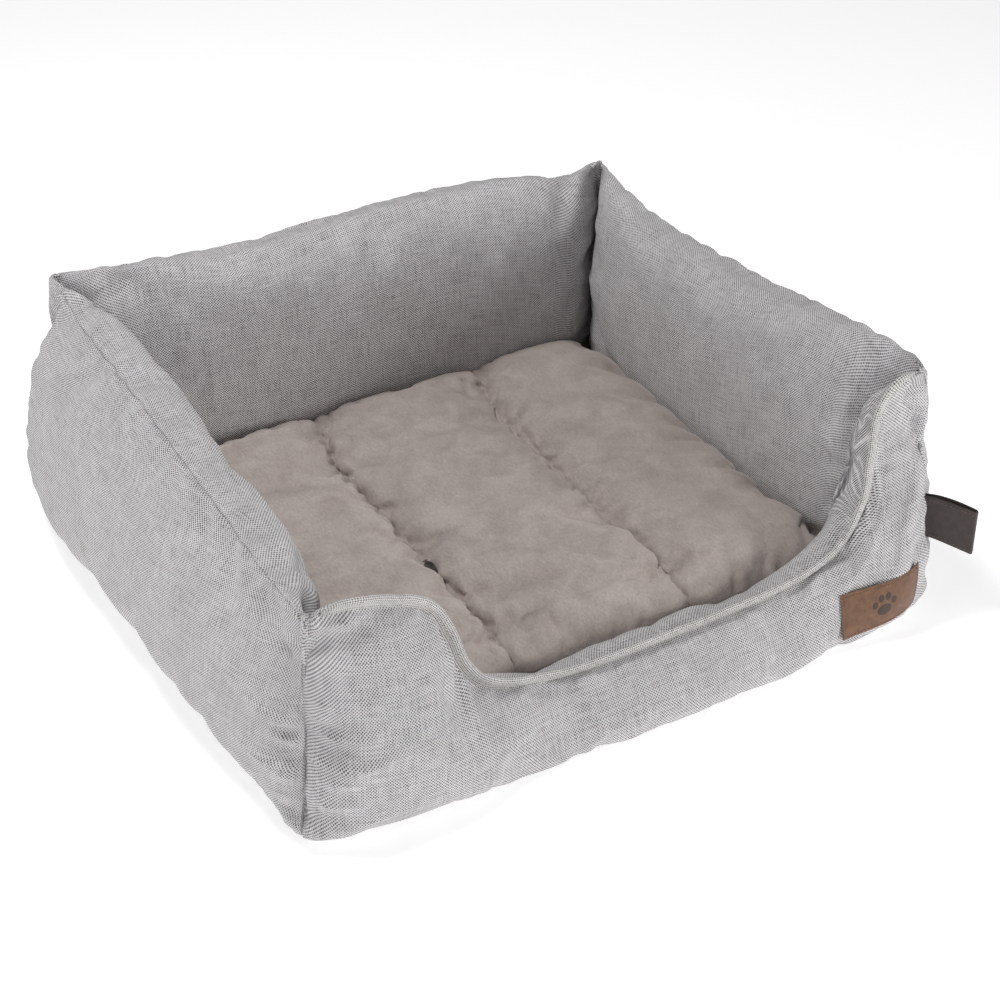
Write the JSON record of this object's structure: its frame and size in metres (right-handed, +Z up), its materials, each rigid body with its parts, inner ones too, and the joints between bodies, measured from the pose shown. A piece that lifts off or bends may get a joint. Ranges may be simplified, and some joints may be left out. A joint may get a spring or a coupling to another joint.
{
  "type": "pet cushion bed",
  "caption": "Rectangular bolster pet bed with stuffed woven walls, a low front entry with a welt, a loose channelled plush cushion, a strap loop and a leather label.",
  "frame": {"origin": "on the floor, under the middle of the base panel", "axes": "+Z up; +X to the bed's right, along its width; the low entry faces -Y"},
  "size_m": [0.6535, 0.584, 0.245],
  "materials": {
    "woven_cloth": "coarse two-tone grey plain weave, matte",
    "welt_cloth": "the same woven cloth, folded and topstitched",
    "plush_cloth": "short taupe plush pile",
    "lining_cloth": "plain light-grey polyester",
    "fibre_fill": "loose white polyester fibre",
    "base_cloth": "dark non-woven base cloth with small grip dots",
    "strap_leather": "dark brown imitation leather, softly glossy",
    "label_leather": "brown stamped imitation leather"
  },
  "bodies": {
    "bed": {"front_outer_panel": "woven_cloth", "front_inner_panel": "woven_cloth", "front_fill": "fibre_fill", "right_outer_panel": "woven_cloth", "right_inner_panel": "woven_cloth", "right_fill": "fibre_fill", "back_outer_panel": "woven_cloth", "back_inner_panel": "woven_cloth", "back_fill": "fibre_fill", "left_outer_panel": "woven_cloth", "left_inner_panel": "woven_cloth", "left_fill": "fibre_fill", "front_welt": "welt_cloth", "base_panel": "base_cloth", "base_wadding": "fibre_fill", "floor_lining": "lining_cloth", "leather_label": "label_leather"},
    "cushion": {"cushion_top_cover": "plush_cloth", "cushion_bottom_cover": "lining_cloth", "cushion_fill_left": "fibre_fill", "cushion_fill_middle": "fibre_fill", "cushion_fill_right": "fibre_fill"},
    "handle": {"handle_loop": "strap_leather"}
  },
  "joints": [
    {"name": "cushion_lift", "type": "slide", "parent": "bed", "child": "cushion", "axis": [0, 0, 1], "range_m": [0, 0.3]},
    {"name": "handle_swing", "type": "hinge", "parent": "bed", "child": "handle", "pos_m": [0.3032, -0.2685, 0.092], "axis": [0, 0, 1], "range_deg": [-25, 25]}
  ]
}
